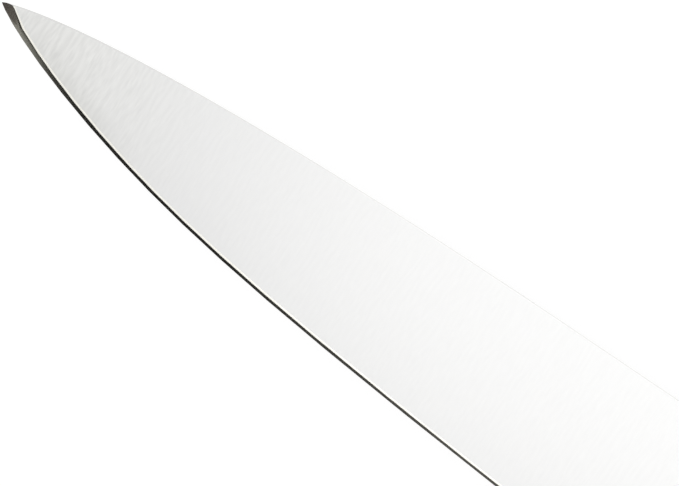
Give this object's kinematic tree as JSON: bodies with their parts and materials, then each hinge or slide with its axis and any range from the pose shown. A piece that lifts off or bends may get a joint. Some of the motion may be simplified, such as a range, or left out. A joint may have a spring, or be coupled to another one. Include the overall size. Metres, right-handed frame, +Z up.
{
  "type": "carving knife",
  "caption": "Forged carving knife: long blade with distal taper and sharpened bevels, bolster with finger guard, full tang, riveted black scales.",
  "frame": {"origin": "centre of the knife's footprint, on the surface that it lies on", "axes": "+X from the tip to the butt, +Y from the cutting edge to the spine, +Z up through the left side; the knife lies on its right scale"},
  "size_m": [0.3314, 0.0344, 0.016],
  "materials": {
    "blade_steel": "satin, ground across the blade, with a bright sharpened bevel",
    "scale_plastic": "moulded, fine matt with a faint sheen",
    "rivet_steel": "belt-polished flush with the scales"
  },
  "bodies": {
    "root": {"forged_blade": "blade_steel", "left_scale": "scale_plastic", "right_scale": "scale_plastic", "front_rivet_barrel": "rivet_steel", "front_rivet_post": "rivet_steel", "middle_rivet_barrel": "rivet_steel", "middle_rivet_post": "rivet_steel", "rear_rivet_barrel": "rivet_steel", "rear_rivet_post": "rivet_steel"}
  },
  "joints": []
}
